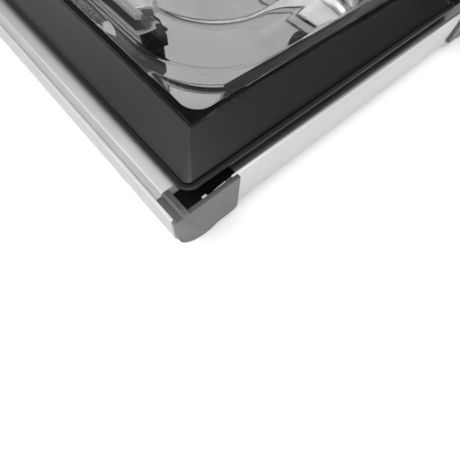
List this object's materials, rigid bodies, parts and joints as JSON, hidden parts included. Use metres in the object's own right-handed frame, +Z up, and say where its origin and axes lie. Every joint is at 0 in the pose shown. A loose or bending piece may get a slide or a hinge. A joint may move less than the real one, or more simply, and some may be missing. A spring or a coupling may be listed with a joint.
{
  "type": "vacuum sealer",
  "caption": "Slim tabletop chamber vacuum sealer with a hinged lid and clear dome over a polished tray, between two rounded metal rails.",
  "frame": {"origin": "centre of the footprint, on the surface the feet stand on", "axes": "+Z up, +X to the user's right, front towards -Y, hinge and controls towards +Y"},
  "size_m": [0.42, 0.3852, 0.0872],
  "materials": {
    "steel_sheet": "zinc-plated sheet",
    "satin_aluminium": "satin anodised, extruded",
    "panel_steel": "fine brushed",
    "grey_plastic": "moulded, satin",
    "black_plastic": "moulded, fine texture",
    "frame_plastic": "moulded, semi-gloss",
    "gloss_black": "gloss",
    "polished_steel": "deep drawn and polished",
    "rubber": "moulded",
    "gasket_rubber": "extruded, smooth",
    "silicone_strip": "extruded silicone",
    "silicone_hose": "translucent silicone",
    "button_metal": "spun face",
    "led_plastic": "diffusing",
    "circuit_board": "solder mask",
    "core_steel": "varnished laminations",
    "zinc_steel": "zinc plated",
    "ground_steel": "ground",
    "cast_aluminium": "die cast",
    "white_plastic": "moulded",
    "coil_plastic": "moulded",
    "heating_alloy": "resistance alloy strip",
    "sealing_tape": "coated glass cloth",
    "clear_acrylic": "clear, polished",
    "dark_zinc": "black zinc"
  },
  "bodies": {
    "base": {"base_pan": "steel_sheet", "front_rail": "satin_aluminium", "rear_rail": "satin_aluminium", "right_panel": "panel_steel", "left_panel": "panel_steel", "cap_front_right": "grey_plastic", "cap_front_left": "grey_plastic", "cap_rear_right": "grey_plastic", "cap_rear_left": "grey_plastic", "deck": "black_plastic", "tray": "polished_steel", "foot_front_right": "rubber", "foot_front_left": "rubber", "foot_rear_right": "rubber", "foot_rear_left": "rubber", "rear_housing": "black_plastic", "console_plate": "gloss_black", "display_lens": "gloss_black", "indicator_leds": "led_plastic", "control_board": "circuit_board", "transformer": "core_steel", "motor": "zinc_steel", "motor_bracket": "steel_sheet", "pump_crankcase": "cast_aluminium", "pump_head": "grey_plastic", "vacuum_hose": "silicone_hose", "valve_body": "coil_plastic", "fan_frame": "black_plastic", "mains_inlet": "black_plastic", "suction_port": "rubber", "guide_blocks": "black_plastic", "lift_cylinders": "cast_aluminium", "hinge_brackets": "dark_zinc", "hinge_pins": "ground_steel", "reed_switch": "white_plastic", "pan_screws": "ground_steel", "housing_screws": "ground_steel"},
    "lid": {"lid_frame": "frame_plastic", "window": "clear_acrylic", "clamp_ring": "black_plastic", "lid_gasket": "gasket_rubber", "press_holder": "satin_aluminium", "press_strip": "silicone_strip", "hinge_arms": "dark_zinc", "lid_magnet": "ground_steel", "hinge_screws": "ground_steel", "ring_screws": "ground_steel"},
    "seal_bar_unit": {"seal_bar": "satin_aluminium", "heating_strip": "heating_alloy", "sealing_tape": "sealing_tape", "bar_end_clamps": "black_plastic", "lift_posts": "ground_steel"},
    "motor_shaft": {"motor_shaft": "ground_steel"},
    "pump_rod": {"pump_rod": "white_plastic"},
    "valve_plunger": {"valve_plunger": "ground_steel"},
    "fan_wheel": {"fan_wheel": "grey_plastic"},
    "button_power": {"button_power": "grey_plastic"},
    "button_vacuum": {"button_vacuum": "button_metal"},
    "button_seal": {"button_seal": "button_metal"},
    "button_stop": {"button_stop": "grey_plastic"}
  },
  "joints": [
    {"name": "lid_hinge", "type": "hinge", "parent": "base", "child": "lid", "pos_m": [0, 0.124, 0.068], "axis": [-1, 0, 0], "range_deg": [0, 65]},
    {"name": "seal_bar_lift", "type": "slide", "parent": "base", "child": "seal_bar_unit", "axis": [0, 0, 1], "range_m": [0, 0.006]},
    {"name": "motor_spin", "type": "hinge", "parent": "base", "child": "motor_shaft", "pos_m": [0, 0.151, 0.032], "axis": [1, 0, 0], "continuous": true},
    {"name": "pump_stroke", "type": "slide", "parent": "base", "child": "pump_rod", "axis": [0, 0, 1], "range_m": [-0.0015, 0.0015], "stiffness_N_per_m": 1500},
    {"name": "valve_stroke", "type": "slide", "parent": "base", "child": "valve_plunger", "axis": [0, 0, -1], "range_m": [0, 0.002], "stiffness_N_per_m": 300, "springref_m": -0.003},
    {"name": "fan_spin", "type": "hinge", "parent": "base", "child": "fan_wheel", "pos_m": [-0.203, 0.15, 0.0235], "axis": [1, 0, 0], "continuous": true},
    {"name": "button_power_press", "type": "slide", "parent": "base", "child": "button_power", "axis": [0, 0.1736, -0.9848], "range_m": [0, 0.0012], "stiffness_N_per_m": 500, "springref_m": -0.002},
    {"name": "button_vacuum_press", "type": "slide", "parent": "base", "child": "button_vacuum", "axis": [0, 0.1736, -0.9848], "range_m": [0, 0.0012], "stiffness_N_per_m": 500, "springref_m": -0.002},
    {"name": "button_seal_press", "type": "slide", "parent": "base", "child": "button_seal", "axis": [0, 0.1736, -0.9848], "range_m": [0, 0.0012], "stiffness_N_per_m": 500, "springref_m": -0.002},
    {"name": "button_stop_press", "type": "slide", "parent": "base", "child": "button_stop", "axis": [0, 0.1736, -0.9848], "range_m": [0, 0.0012], "stiffness_N_per_m": 500, "springref_m": -0.002}
  ]
}
